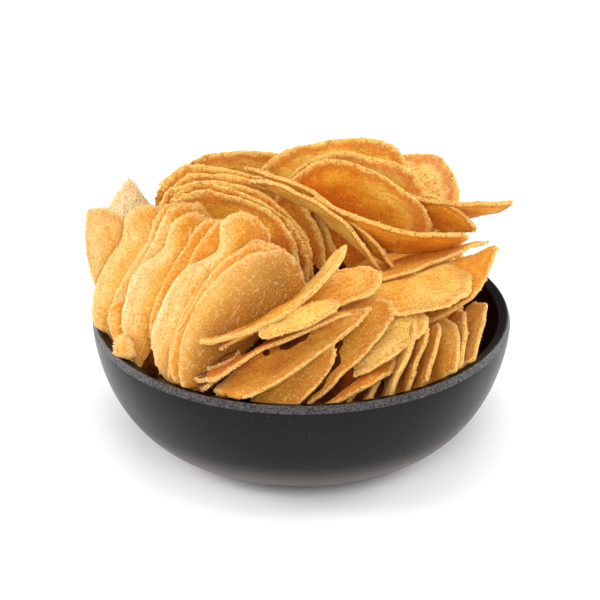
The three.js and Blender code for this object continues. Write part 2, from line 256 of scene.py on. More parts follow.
def glazeMaterial():
    # a cloudy dark glaze, paler towards the foot as a painted reflection of the white floor, brown inside as
    # a painted reflection of the crisps, with a scratched grey band under the rim
    material, tree, shader = startMaterial("glaze", IOR=glaze["ior"])
    at = makeNode(tree, "TexCoord").outputs["Object"]
    apart = makeNode(tree, "SeparateXYZ", {"Vector": at})
    height = apart.outputs["Z"]
    across = combined(tree, "POWER", apart.outputs["X"], 2.0)
    deep = combined(tree, "POWER", apart.outputs["Y"], 2.0)
    radius = combined(tree, "SQRT", combined(tree, "ADD", across, deep))
    outside = ramp(tree, radius, *[(bowl["ridgeRadius"] - inwards) * mm for inwards in glaze["bandInwards"]])
    above = ramp(tree, height, *[(bowl["bellyHeight"] + upwards) * mm for upwards in glaze["bandUpwards"]])
    onBand = combined(tree, "MULTIPLY", outside, above)
    scratches = noise(tree, stretched(tree, at, glaze["scratchStretch"]), **glaze["scratches"])
    scratches = ramp(tree, scratches, *glaze["scratchRange"])
    clouds = noise(tree, at, **glaze["clouds"])
    # how much painted floor reflection there is at each height
    floorReflection = ramp(tree, height, *[start * mm for start in glaze["floorReflectionFade"]])
    dust = ramp(tree, noise(tree, at, **glaze["dustGrains"]), *glaze["dustRange"])
    dust = combined(tree, "MULTIPLY", dust, ramp(tree, onBand, 0.0, 1.0, *glaze["dustAmounts"]))
    base = blended(tree, ramp(tree, clouds, *glaze["cloudRange"]), glaze["dark"], glaze["light"])
    # painted reflection of the white floor, paler towards the foot
    base = blended(tree, floorReflection, base, glaze["foot"])
    base = blended(tree, onBand, base, blended(tree, scratches, glaze["bandDark"], glaze["band"]))
    # the inside in brown, a painted reflection of the crisps
    base = blended(tree, attribute(tree, "inner"), base, glaze["inside"])
    base = blended(tree, dust, base, glaze["dust"])
    tree.links.new(base, shader.inputs["Base Color"])
    bandRoughness = combined(tree, "MULTIPLY", onBand, glaze["bandRoughness"])
    roughness = combined(tree, "ADD", ramp(tree, clouds, *glaze["roughness"]), bandRoughness)
    tree.links.new(roughness, shader.inputs["Roughness"])
    relief = bump(tree, noise(tree, at, **glaze["grain"]), glaze["grainDepth"])
    relief = bump(tree, combined(tree, "MULTIPLY", onBand, scratches), glaze["scratchDepth"], relief)
    tree.links.new(relief, shader.inputs["Normal"])
    return material


def makeBowl():
    # the turned bowl, with inner = 1 on its inside for the glaze
    profile, isInner = bowlProfile()
    points, faces = turned(profile, bowl["segments"])
    inner = np.concatenate([np.repeat(isInner[1:-1], bowl["segments"]), isInner[[0, -1]]])
    makePiece("bowlBody", points, faces, glazeMaterial(), ["bowl"], {"inner": inner})


makeBowl()


# each crisp is a thin rounded sheet between two tips
sight = {"elevation": math.radians(25.76), "distance": 1145.0}  # from where the heap is laid out

crispShape = {
    "thickness": (1.9, 2.5),
    "squareness": 2.3,  # 2 is an ellipse, more is squarer
    "edge": 14,  # how blunt the rim of a crisp is
    "cells": 36,
    "crowding": 1.7,  # how much closer the grid's lines are at the outline
    "ripples": [(3, 0.022), (5, 0.016), (9, 0.009), (14, 0.007), (31, 0.006), (47, 0.006)],  # waves, amount
    "swells": [(0.5, 0.21, 0.29), (0.3, 0.43, 0.5)],  # height, then radians per millimetre along and across
    "waveMiddle": 0.35,
    "waveSide": 0.65,  # a wave is stronger at the left side by this
    "pointCurve": 1.5,
    "waistAt": 0.5,
    "waistSpan": 0.25,
    "gap": 1.4,  # kept to the bowl's wall
    "leanOut": 3,  # millimetres of room outwards for each one above the rim
    "play": 0.7,  # how unevenly the tips of a fan lie
    "faceSpread": 500,  # each crisp takes its streaks from another place in this range
    "backShift": 300,
}
crispTone = {
    "spread": 0.1,  # between one crisp and the next
    "middle": 0.25,  # added in the middle
    "rimFall": 0.45,  # taken off at the rim
    # where painted shade on the right side starts and how fast it grows across the crisp
    "paintedShadeMiddle": 0.8,
    "paintedShadeFall": 0.7,
}
plainCrisp = {"bow": 0, "cup": 0, "wave": 0, "cycles": 1.5, "twist": 0, "sway": 0, "bend": 0, "egg": 0,
              "point": 0, "waist": 0, "turn": 0, "tone": 0.5, "paintedSideShade": 0, "start": 0, "end": 0, "paintedShade": 0}

# A crisp or fan has tips a and b as (right, up, deep): right and up across the line of sight through the
# middle of the rim, deep along Y. A fan's first and last are given, with count in all. roll turns a crisp
# about its length away from facing the eye. bow and cup curve it along and across, twist winds it, wave
# ripples it in so many cycles, sway and bend bend its outline, egg makes the b end narrower, point makes it
# a point, waist nips in the side left of the b end. turn spins it about the bowl. tone is how toasted it is;
# paintedSideShade paints light into it on the left side and shade on the right side. start and end add to it
# at
# the a and the b end: painted shade where they are above 0, painted light below. paintedShade browns the
# right side as painted shade, and above 1 darkens it to painted deep shadow.
leftCrisps = {
    "leftTip": {"a": (-65, -5, -8), "b": (-79.5, 40, 2), "roll": 5, "width": 22, "bow": 2, "cup": -2,
                "point": 0.35, "bend": -2, "tone": 0.1, "paintedSideShade": 0.3},
    "leftPoint": {"a": (-64, 0, 8), "b": (-66, 51, 14), "roll": 5, "width": 27, "bow": 3, "cup": -3,
                  "point": 0.75, "tone": -1.1, "paintedSideShade": 0.2},
    "leftWide": {"a": (-64, -16, -22), "b": (-57, 41, -3), "roll": 0, "width": 33, "bow": 3, "cup": -6,
                 "egg": 0.15, "sway": -2, "waist": 2.5, "tone": 0.3, "paintedSideShade": 0.6},
    # narrow strips between the lobes, toasted deeper as painted shade between the crisps
    "leftSlices": {"count": 2, "a": [(-61, -21, -28), (-58, -23, -34)],
                   "b": [(-47, 41, -7), (-42, 42, -10.5)], "roll": -14, "width": 28, "bow": 2, "cup": -5,
                   "sway": -2, "waist": 2, "tone": 0.8, "paintedSideShade": 1.6},
    "leftLow": {"a": (-58, -25, -38), "b": (-71, 4, -27), "roll": 5, "width": 15, "bow": 1, "cup": -1,
                "egg": 0.2},
    "leftRound": {"a": (-67.5, -19, -41), "b": (-68.5, -9, -37), "roll": 10, "width": 8, "bow": 1,
                  "egg": 0.3, "tone": 0.2, "paintedSideShade": 0},
    "leftLobe": {"a": (-57, -24, -40.5), "b": (-39.5, 37, -17.5), "roll": -10, "width": 33, "bow": 2,
                 "cup": -6, "egg": 0.15, "waist": 5.5, "tone": 0.4, "paintedSideShade": 2.2},
    # narrow strips between the lobes, toasted deeper as painted shade between the crisps
    "leftEdges": {"count": 2, "a": [(-50, -26, -45), (-47, -27, -49)],
                  "b": [(-31, 36, -21), (-25, 35, -24.5)], "roll": -12, "width": 26, "bow": 2, "cup": -5,
                  "sway": -1.5, "tone": 1.5, "paintedSideShade": 1.6},
    "leftSecond": {"a": (-48.5, -28, -53.5), "b": (-18, 36.5, -29), "roll": -10, "width": 33, "bow": 2,
                   "cup": -6, "egg": 0.1, "waist": 8.5, "tone": 0.3, "paintedSideShade": 1.8},
    # narrow strips between the lobes, toasted deeper as painted shade between the crisps
    "leftBands": {"count": 2, "a": [(-46, -30, -58.5), (-45, -30, -62)],
                  "b": [(-10, 25.5, -35), (-7, 24.5, -38.5)], "roll": -10, "width": 28, "bow": 2, "cup": -6,
                  "bend": 1, "tone": 1.4, "paintedSideShade": 1.6},
    "leftFront": {"a": (-45, -31, -66), "b": (-4, 21, -43), "roll": -10, "width": 24, "bow": 2, "cup": -6,
                  "egg": -0.45, "bend": 3.5, "sway": -1.5, "tone": 0.3, "paintedSideShade": 0.2, "paintedShade": 1.0},
}
topCrisps = {
    "archFront": {"count": 3, "a": [(-52, 38, 12), (-53, 41, 18)], "b": [(0, 8, -15), (4, 11, -10)],
                  "roll": [-42, -40], "width": [40, 41], "bow": -6, "cup": -1, "sway": 1, "end": 0.6},
    "archMiddle": {"count": 2, "a": [(-53.5, 43, 23), (-54, 45, 27)], "b": [(10, 14, -5), (13, 16, -1)],
                   "roll": -37, "width": 43, "bow": -6, "cup": -1, "sway": 1, "tone": 0.2, "end": 0.4},
    "archUnder": {"a": (-10, 21, 7), "b": (34, 16, 2), "roll": -15, "width": 26, "bow": -2, "tone": 0.9},
    "archBack": {"a": (-55, 38, 35), "b": (8, 42, 28), "roll": -30, "width": 44, "bow": -5, "tone": -0.1},
    "edgeUpper": {"a": (35, 16.5, -18), "b": (-22, 55, 12), "roll": 78, "width": 16, "bow": -5,
                  "point": 0.8, "tone": -0.3},
    "edgeLower": {"a": (29.5, 16.5, -21), "b": (-20, 50, 5), "roll": 76, "width": 17, "bow": -5.5,
                  "point": 0.8, "tone": -0.3},
    "rightFace": {"a": (-10, 41, 5), "b": (50, 28, 7), "roll": -35, "width": 38, "bow": -8, "cup": -1,
                  "egg": 0.25, "sway": -1, "start": 0.6, "end": -0.9, "paintedSideShade": 0.5},
    "rightNext": {"a": (-9, 40, 14), "b": (50, 37.5, 14), "roll": -25, "width": 42, "bow": -5, "wave": 2,
                  "tone": -0.2},
    "rightBack": {"a": (-18, 44, 22), "b": (43, 46, 23), "roll": -8, "width": 42, "bow": -2, "wave": 3,
                  "cycles": 1.6, "sway": 1.5, "tone": -0.1},
    "rightLobe": {"a": (12, 34, 28), "b": (60, 49, 33), "roll": 10, "width": 36, "bow": -2, "wave": 2,
                  "tone": -0.9},
    "rightUnder": {"a": (5, 42, -4), "b": (64, 28, -5), "roll": -64, "width": 18, "bow": 8},
    "rightBeak": {"a": (36, 44, 19), "b": (81, 41, 14), "roll": -72, "width": 18, "bow": 4, "point": 0.3},
    "rightPoint": {"a": (42, 43, 17), "b": (67, 31, 10), "roll": -50, "width": 17, "bow": 1, "point": 0.6,
                   "tone": 0.4},
}
frontCrisps = {
    "lyingEdge": {"a": (2, 7, -20), "b": (71.5, 26.5, 0), "roll": 74, "width": 30, "bow": 1, "point": 0.85},
    "lyingPale": {"a": (12, 3, -33), "b": (65, 13.5, -22), "roll": 61, "width": 39, "bow": 2, "cup": -2,
                  "egg": -0.2, "tone": 0.2},
    "lyingTip": {"a": (22, -9, -32), "b": (75.5, 25.5, -12), "roll": 48, "width": 32, "bow": -2,
                 "point": 0.85, "sway": -3, "tone": 0.6},
    "crossing": {"a": (-39, -12.5, -68), "b": (17, 25, -38), "roll": 80, "width": 15, "bow": -7, "tone": 0.3,
                 "start": 0.9, "end": -0.4},
    "twisted": {"a": (-31, -15, -66), "b": (30, 14, -38), "roll": 58, "width": 15, "wave": 1.5,
                "cycles": 1.4, "twist": 5, "egg": -0.45, "bend": 4, "tone": 0.3, "start": 1.2},
    "twistFlap": {"a": (-16, -10, -67), "b": (14.5, 3, -55), "roll": 35, "width": 8.5, "bow": 1, "wave": 1,
                  "tone": -0.1},
    "wavy": {"a": (-37, -28, -68), "b": (26, 1.5, -46), "roll": 78, "width": 16, "wave": 2, "bow": 4,
             "start": 0.9},
    "frontLong": {"a": (-33, -33, -70), "b": (27, 1.5, -52), "roll": 48, "width": 17, "bow": -1, "egg": 0.4,
                  "point": 0.4, "tone": 0.4, "paintedShade": 0.4},
    "frontRound": {"a": (-18, -41, -73), "b": (11.5, -11, -59), "roll": 25, "width": 19, "bow": 1,
                   "tone": 0.4, "paintedShade": 0.7},
    "frontBig": {"a": (-12, -37, -66), "b": (34, 3.5, -46), "roll": 36, "width": 24, "bow": 1, "sway": 1,
                 "paintedShade": 0.5},
    "frontPale": {"a": (13, -23, -58), "b": (46.5, -0.5, -42.5), "roll": 42, "width": 24, "bow": 2,
                  "tone": -0.2},
    "frontLow": {"a": (2, -36, -66), "b": (36, -18, -55), "roll": 56, "width": 17, "tone": 0.8},
    "standLow": {"count": 2, "a": [(10, -48, -63), (18, -47, -62)], "b": [(22, -27, -58), (30, -24, -55)],
                 "roll": 78, "width": 20, "bow": 1},
    "standMiddle": {"count": 3, "a": [(27, -44, -60), (40, -42, -56)], "b": [(43, -3, -46), (52, -5, -41)],
                    "roll": 74, "width": 25, "bow": 1, "tone": [0.2, 0.5]},
    "standFace": {"a": (46, -41, -50), "b": (57, -4, -37), "roll": 55, "width": 28, "bow": 1, "tone": 0.3},
    "standRight": {"count": 2, "a": [(52, -38, -45), (57, -34, -41)], "b": [(62, 0, -30), (69, 4, -23)],
                   "roll": 70, "width": 28, "bow": 1, "tone": 0.2},
    # small crisps set in a gap of shadow and darkened there as painted deep shadow
    "hollow": {"count": 2, "a": [(-42, -25, -64), (-40, -21, -60)], "b": [(-27, -21, -62), (-24, -17, -58)],
               "roll": 60, "width": 9, "tone": 1, "paintedShade": 2},
    "hollowFlat": {"a": (-46, -31, -60), "b": (-33, -25, -64), "roll": 50, "width": 11, "tone": 0.5,
                   "paintedShade": 1.6},
}
backCrisps = {
    "backLeft": {"turn": 180, "count": 5, "a": [(-44, -24, -48), (-2, -36, -70)],
                 "b": [(-34, 26, -28), (12, 14, -50)], "roll": -8, "width": 36, "bow": 2, "cup": -3,
                 "egg": 0.2},
    "backLying": {"turn": 180, "count": 3, "a": [(6, -35, -67), (28, -37, -61)],
                  "b": [(36, -4, -54), (60, -14, -48)], "roll": 50, "width": 30, "bow": 2, "wave": 1},
    "backRight": {"turn": 180, "count": 4, "a": [(40, -38, -55), (61, -31, -37)],
                  "b": [(60, -2, -38), (75, 20, -8)], "roll": 66, "width": 30, "bow": 2, "cup": -2},
    "backTop": {"turn": 180, "count": 3, "a": [(0, 4, -38), (6, -2, -54)],
                "b": [(56, 10, -36), (60, 4, -52)], "roll": 45, "width": 36, "bow": 3, "wave": 1},
    "valley": {"count": 2, "a": [(-42, 16, 4), (-32, 7, -13)], "b": [(-3, 8, -17), (10, -2, -32)],
               "roll": 40, "width": 23, "bow": 2, "wave": 1, "tone": 0.9},
    "leftLying": {"turn": 270, "count": 2, "a": [(-16, -33, -55), (2, -33, -57)],
                  "b": [(-6, -6, -42), (10, -6, -44)], "roll": 60, "width": 28, "bow": 2, "wave": 1},
    "sideLying": {"turn": 90, "count": 4, "a": [(-22, -34, -57), (30, -33, -55)],
                  "b": [(0, -6, -32), (50, -6, -38)], "roll": 60, "width": 34, "bow": 2, "wave": 1},
}

sightUp = np.array([0, math.sin(sight["elevation"]), math.cos(sight["elevation"])])
sightBack = np.array([0, -math.cos(sight["elevation"]), math.sin(sight["elevation"])])
rimMiddle = np.array([0, 0, bowl["height"]])
eye = rimMiddle + sight["distance"] * sightBack


def tipAt(tip):
    # where the line of sight through (right, up) reaches Y = deep
    right, up, deep = tip
    onPlane = rimMiddle + np.array([right, 0, 0]) + up * sightUp
    return eye + (onPlane - eye) * (deep - eye[1]) / (onPlane[1] - eye[1])


def between(value, t):
    # a value of the fan: one number or point for all, or a pair from first to last
    if isinstance(value, list):
        return np.asarray(value[0], float) * (1 - t) + np.asarray(value[-1], float) * t
    return np.asarray(value, float)


def placed(one, random, loose):
    # the crisp with its tips in space and the direction that it faces: towards the eye, square to its
    # length, then turned by roll about its length, and all spun about the bowl by turn
    a = tipAt(one["a"]) + random.uniform(-loose, loose, 3)
    b = tipAt(one["b"]) + random.uniform(-loose, loose, 3)
    along = (b - a) / np.linalg.norm(b - a)
    toEye = eye - (a + b) / 2
    toEye = toEye - toEye.dot(along) * along
    toEye = toEye / np.linalg.norm(toEye)
    roll = math.radians(one["roll"])
    facing = toEye * math.cos(roll) + np.cross(toEye, along) * math.sin(roll)
    turn = math.radians(one["turn"])
    cosine, sine = math.cos(turn), math.sin(turn)
    spin = np.array([[cosine, -sine, 0], [sine, cosine, 0], [0, 0, 1]])
    return {**one, "a": spin @ a, "b": spin @ b, "facing": spin @ facing, "random": random}


def laidOut(fans, firstSeed, common):
    # one dictionary for each crisp of the fans; common holds what they share
    crisps = []
    for fan in fans.values():
        count = fan.get("count", 1)
        loose = crispShape["play"] if count > 1 else 0.0
        for i in range(count):
            t = i / max(count - 1, 1)
            own = {key: between(value, t) for key, value in fan.items()}
            random = np.random.default_rng(firstSeed + len(crisps))
            crisps.append(placed({**plainCrisp, **common, **own}, random, loose))
    return crisps


def roomInside(z):
    # how far from the axis the middle of a crisp may lie: inside the wall, and free above the rim
    inner = sideRadius(np.clip(z, bowl["floor"], bowl["height"])) - bowl["wall"]
    return inner - crispShape["gap"] + crispShape["leanOut"] * np.clip(z - bowl["height"], 0, None)


def outlineGrid(phases):
    # a square grid pressed into a disc, x = u sqrt(1 - v^2 / 2), and then into |x|^p + |y|^p = 1, which each
    # ripple stretches by 1 + amount * sin(waves * angle + phase). rho is 1 along the outline.
    line = np.linspace(-1, 1, crispShape["cells"] + 1)
    line = np.sign(line) * (1 - (1 - np.abs(line)) ** crispShape["crowding"])
    u, v = np.meshgrid(line, line, indexing="ij")
    x = u * np.sqrt(1 - v * v / 2)
    y = v * np.sqrt(1 - u * u / 2)
    rho = np.hypot(x, y)
    angle = np.arctan2(y, x)
    p = crispShape["squareness"]
    reach = (np.abs(np.cos(angle)) ** p + np.abs(np.sin(angle)) ** p) ** (-1 / p)
    ripple = 1
    for (waves, amount), phase in zip(crispShape["ripples"], phases):
        ripple = ripple + amount * np.sin(waves * angle + phase)
    reach = reach * ripple
    return x * reach, y * reach, rho


def crispSheet(one):
    # the middle of a crisp: s = x * length / 2 along it, t = y * width / 2 across it, narrowed by egg and
    # point and shifted by sway, bend and waist, and lifted by bow (1 - x^2) + cup y^2 + twist x y + waves.
    # Where it would meet the bowl's wall it is drawn in towards the axis.
    # half is how far each face stands off it: thickness / 2 * sqrt(1 - rho^edge), so that they meet.
    random = one["random"]
    phase = random.uniform(0, 2 * math.pi, 12)  # ten of them are used
    x, y, rho = outlineGrid(phase[[0, 1, 2, 3, 8, 9]])
    length = np.linalg.norm(one["b"] - one["a"])
    along = (one["b"] - one["a"]) / length
    across = np.cross(one["facing"], along)
    s = x * length / 2
    taper = (1 - one["egg"] * x) * (1 - one["point"] * np.clip(x, 0, 1) ** crispShape["pointCurve"])
    t = y * taper * one["width"] / 2 + one["sway"] * np.sin(math.pi * x) + one["bend"] * (1 - x * x)
    nip = np.exp(-((x - crispShape["waistAt"]) / crispShape["waistSpan"]) ** 2)
    t = t - one["waist"] * np.clip(y, 0, 1) * nip
    lift = one["bow"] * (1 - x * x) + one["cup"] * y * y + one["twist"] * x * y
    sideways = crispShape["waveMiddle"] + crispShape["waveSide"] * y
    lift = lift + one["wave"] * np.sin(math.pi * one["cycles"] * x) * sideways
    for swell, shift in zip(crispShape["swells"], phase[4:8].reshape(2, 2)):
        height, alongRate, acrossRate = swell
        lift = lift + height * np.sin(alongRate * s + shift[0]) * np.sin(acrossRate * t + shift[1])
    middle = (one["a"] + one["b"]) / 2 + s[..., None] * along
    middle = middle + t[..., None] * across + lift[..., None] * one["facing"]
    radius = np.hypot(middle[..., 0], middle[..., 1])
    shrink = np.minimum(1, roomInside(middle[..., 2]) / np.maximum(radius, 1e-6))
    middle[..., :2] *= shrink[..., None]
    normal = np.cross(np.gradient(middle, axis=0), np.gradient(middle, axis=1))
    normal /= np.linalg.norm(normal, axis=2, keepdims=True) + 1e-12
    half = random.uniform(*crispShape["thickness"]) / 2
    half = half * np.sqrt(np.clip(1 - rho ** crispShape["edge"], 0, 1))
    tone = one["tone"] + random.uniform(-crispTone["spread"], crispTone["spread"]) + crispTone["middle"]
    # painted light and shade: paler on the left of the line from a to b and more toasted on its right, as
    # the light falls from the left
    tone = tone - crispTone["rimFall"] * rho * rho + one["paintedSideShade"] * (0.5 - y)
    # painted shade at an end where start or end is above 0, painted light where it is below 0
    tone = tone + one["start"] * np.clip(-x, 0, 1) + one["end"] * np.clip(x, 0, 1)
    # painted shade: browner towards the right of the line from a to b, as the light falls from the left
    paintedShade = one["paintedShade"] * np.clip(crispTone["paintedShadeMiddle"] - crispTone["paintedShadeFall"] * y, 0, 1)
    return middle, normal, half, rho, np.stack([s, t], -1), tone, paintedShade


def crispMeshes(crisps):
    # all the crisps of one kind as one mesh: points, faces, normals, uv and the numbers at each point.
    # The front face has the whole grid and the back face its inside, so that they share the outline.
    size = crispShape["cells"] + 1
    front = np.arange(size * size).reshape(size, size)
    inside = np.zeros((size, size), bool)
    inside[1:-1, 1:-1] = True
    back = front.copy()
    back[inside] = size * size + np.arange(inside.sum())
    oneFaces = np.concatenate([gridFaces(front), gridFaces(back)[:, ::-1]])
    pointCount = size * size + inside.sum()

    def bothFaces(onFront, onBack):
        # a value of every point: the front's on the whole grid, then the back's inside it
        return np.concatenate([onFront.reshape(size * size, *onFront.shape[2:]), onBack[inside]])

    made = []
    for i, one in enumerate(crisps):
        middle, normal, half, rho, flat, tone, paintedShade = crispSheet(one)
        lift = normal * half[..., None]
        flat = flat + one["random"].uniform(0, crispShape["faceSpread"], 2)
        made.append({
            "points": bothFaces(middle + lift, middle - lift),
            "faces": oneFaces + i * pointCount,
            "normals": bothFaces(normal, -normal),
            "uv": bothFaces(flat, flat + crispShape["backShift"]),
            "tone": bothFaces(tone, tone),
            "paintedShade": bothFaces(paintedShade, paintedShade),
            "rim": bothFaces(rho, rho),
        })
    return {key: np.concatenate([one[key] for one in made]) for key in made[0]}


# what the skins of all crisps share. The first two numbers say at which value of a pattern a colour starts
# and is full, the next two how strong it is there. Where only three are given, the potato's own look has the
# fourth.
crispSkin = {
    "roughness": 0.62,
    "ior": 1.3,
    "glowColour": (1.0, 0.6, 0.3),
    "glowReach": 0.0025,  # metres
    "broad": {"size": 16, "detail": 2.0},
    "broadStrength": 0.9,
    "patches": {"size": 4, "detail": 4.0, "roughness": 0.6},
    "patchStrength": 0.5,
    "patchDepth": 0.7,
    "streaks": {"size": 9, "detail": 4.0, "roughness": 0.6},
    "streakStretch": (1.0, 7.0, 1.0),
    "streakDepth": 0.6,
    "grain": {"size": 0.9, "detail": 4.0, "roughness": 0.75},
    "grainDepth": 0.95,
    "pale": (-0.9, -0.2),
    "golden": (0.0, 0.5),
    "toasted": (0.5, 1.0),
    # the ranges of painted shade on the right side, and of painted deep shadow above 1
    "paintedShadeBrown": (0.0, 1.0),
    "paintedDeepShadow": (1.0, 1.6),
    "darkStreaks": (0.5, 0.68, 0.0, 0.5),
    "paleStreaks": (0.44, 0.3, 0.0, 0.4),
    "ring": (0.72, 0.88, 0.0),
    "edge": (0.9, 0.98, 0.0),
    "rimUnevenness": 0.25,
    "cracks": {"size": 1.6, "detail": 4.0, "roughness": 0.7},
    "crackRange": (0.55, 0.65, 0.0),
    "crackedRim": (0.88, 0.94),
    "paleGrain": (0.52, 0.64, 0.0, 0.5),
    "darkGrain": (0.49, 0.37, 0.0, 0.85),
    "specks": {"size": 0.9, "detail": 2.0},
    "speckSoftness": 0.04,
    "speckStrength": 0.7,
    "salted": {"size": 0.6, "detail": 1.0},
    "saltedRange": (0.77, 0.8, 0.0, 0.22),
    "saltedColour": colour(255, 244, 210),
}
palePotato = {
    "cream": colour(255, 238, 190), "pale": colour(247, 203, 132), "golden": colour(238, 174, 76),
    # the two dark browns after toasted colour painted shade and painted deep shadow
    "toasted": colour(222, 138, 18), "paintedShadeBrown": colour(156, 102, 30), "paintedDeepShadow": colour(66, 42, 26),
    # the ring's tint: a toasted band, darkened red-brown as painted contact shade
    "edge": colour(253, 222, 148), "edgePaleness": 0.4, "ring": 0.3, "ringShadeTint": colour(222, 130, 30),
    "speck": colour(206, 104, 22), "speckLevel": 0.74, "glow": 0.08,
}
toastedPotato = dict(palePotato, cream=colour(255, 226, 144), pale=colour(255, 208, 88),
                     golden=colour(255, 182, 44), toasted=colour(234, 124, 14), edge=colour(255, 218, 116),
                     edgePaleness=0.8, ring=0.7, ringShadeTint=colour(210, 98, 10), speck=colour(184, 72, 10),
                     speckLevel=0.68)
frontPotato = dict(palePotato, cream=colour(255, 228, 158), pale=colour(254, 206, 104),
                   golden=colour(246, 170, 54), toasted=colour(220, 114, 16), edge=colour(255, 216, 124),
                   edgePaleness=0.7, ring=0.35, ringShadeTint=colour(206, 102, 14), speck=colour(184, 76, 12),
                   speckLevel=0.7)


def crispMaterial(name, look):
    # cream to toasted by tone, which also holds painted light and shade, broad and small patches, then coat
    # over
    # coat: painted shade in brown and in deep shadow, streaks, the ring at the rim darkened as painted
    # contact shade, the pale edge, cracks there, pale and dark grain, specks and salt
    material, tree, shader = startMaterial(
        name, Roughness=crispSkin["roughness"], IOR=crispSkin["ior"], Subsurface_Weight=look["glow"],
        Subsurface_Radius=crispSkin["glowColour"], Subsurface_Scale=crispSkin["glowReach"])
    at = makeNode(tree, "TexCoord").outputs["Object"]
    face = makeNode(tree, "UVMap", uv_map="face").outputs["UV"]
    rim = attribute(tree, "rim")
    paintedShade = attribute(tree, "paintedShade")
    patches = noise(tree, at, **crispSkin["patches"])
    grain = noise(tree, at, **crispSkin["grain"])
    streaks = noise(tree, stretched(tree, face, crispSkin["streakStretch"]), **crispSkin["streaks"])
    specks = noise(tree, at, **crispSkin["specks"])
    salted = noise(tree, at, **crispSkin["salted"])
    broad = noise(tree, at, **crispSkin["broad"])
    # tone holds the crisp's own toast and the painted light and shade laid into it
    toast = swayed(tree, attribute(tree, "tone"), broad, crispSkin["broadStrength"])
    toast = swayed(tree, toast, patches, crispSkin["patchStrength"])
    brim = swayed(tree, rim, patches, crispSkin["rimUnevenness"])
    cracks = ramp(tree, noise(tree, at, **crispSkin["cracks"]), *crispSkin["crackRange"], look["ring"])
    cracks = combined(tree, "MULTIPLY", cracks, ramp(tree, rim, *crispSkin["crackedRim"]))
    speckFull = look["speckLevel"] + crispSkin["speckSoftness"]
    coats = [
        (ramp(tree, toast, *crispSkin["golden"]), look["golden"]),
        (ramp(tree, toast, *crispSkin["toasted"]), look["toasted"]),
        (ramp(tree, paintedShade, *crispSkin["paintedShadeBrown"]), look["paintedShadeBrown"]),
        (ramp(tree, paintedShade, *crispSkin["paintedDeepShadow"]), look["paintedDeepShadow"]),
        (ramp(tree, streaks, *crispSkin["darkStreaks"]), look["toasted"]),
        (ramp(tree, streaks, *crispSkin["paleStreaks"]), look["edge"]),
        # the ring just inside the rim: a toasted band, darkened red-brown as painted contact shade where the
        # next crisp overlaps
        (ramp(tree, brim, *crispSkin["ring"], look["ring"]), look["ringShadeTint"]),
        (ramp(tree, brim, *crispSkin["edge"], look["edgePaleness"]), look["edge"]),
        (cracks, look["speck"]),
        (ramp(tree, grain, *crispSkin["paleGrain"]), look["edge"]),
        (ramp(tree, grain, *crispSkin["darkGrain"]), look["toasted"]),
        (ramp(tree, specks, look["speckLevel"], speckFull, 0.0, crispSkin["speckStrength"]), look["speck"]),
        (ramp(tree, salted, *crispSkin["saltedRange"]), crispSkin["saltedColour"]),
    ]
    base = blended(tree, ramp(tree, toast, *crispSkin["pale"]), look["cream"], look["pale"])
    for factor, tint in coats:
        base = blended(tree, factor, base, tint)
    tree.links.new(base, shader.inputs["Base Color"])
    relief = bump(tree, streaks, crispSkin["streakDepth"])
    relief = bump(tree, patches, crispSkin["patchDepth"], relief)
    relief = bump(tree, grain, crispSkin["grainDepth"], relief)
    tree.links.new(relief, shader.inputs["Normal"])
    return material


kinds = {
    "crispsLeft": {"fans": leftCrisps, "potato": palePotato, "seed": 100, "common": {"paintedSideShade": 1.0}},
    "crispsTop": {"fans": topCrisps, "potato": toastedPotato, "seed": 200, "common": {"paintedSideShade": 0.2}},
    "crispsFront": {"fans": frontCrisps, "potato": frontPotato, "seed": 300, "common": {}},
    "crispsBack": {"fans": backCrisps, "potato": frontPotato, "seed": 400, "common": {}},
}


def makeCrisps():
    # one piece for each kind, and their surfaces for what clings to them
    surfaces = {}
    for name, kind in kinds.items():
        sheets = crispMeshes(laidOut(kind["fans"], kind["seed"], kind["common"]))
        values = {key: sheets[key] for key in ("tone", "paintedShade", "rim")}
        skin = crispMaterial(name + "Skin", kind["potato"])
        faces = sheets["faces"].tolist()
        makePiece(name, sheets["points"], faces, skin, ["crisps"], values, sheets["uv"])
        surfaces[name] = sheets
    return surfaces


surfaces = makeCrisps()


# the crisps lie on dark mounds that fill the heap, dark brown as painted shadow between the crisps
core = {
    "mounds": [
        {"middle": (-2.0, 2.0), "radius": 62.0, "top": 56.0},
        {"middle": (-8.0, 22.0), "radius": 42.0, "top": 84.0},
        {"middle": (-33.0, -31.0), "radius": 30.0, "top": 70.0},
        {"middle": (3.0, -41.0), "radius": 32.0, "top": 71.0},
    ],
    "level": 34.0,  # a mound is widest here
    "foot": 16.0,
    "footShare": 0.7,  # of its radius
    "curve": 1.8,
    "bumps": 1.5,
    "lumps": [(5, 1, 9), (11, 2, 17)],  # waves round it, their shift, and waves down it
    "segments": 96,
    "rings": 32,
    # two dark browns of painted shadow, seen in the gaps between the crisps
    "dark": colour(96, 42, 10),
    "darker": colour(52, 20, 5),
    "patches": {"size": 5, "detail": 4.0},
    "patchRange": (0.35, 0.65),
    "patchDepth": 1.2,
    "roughness": 1.0,
    "ior": 1.15,
}


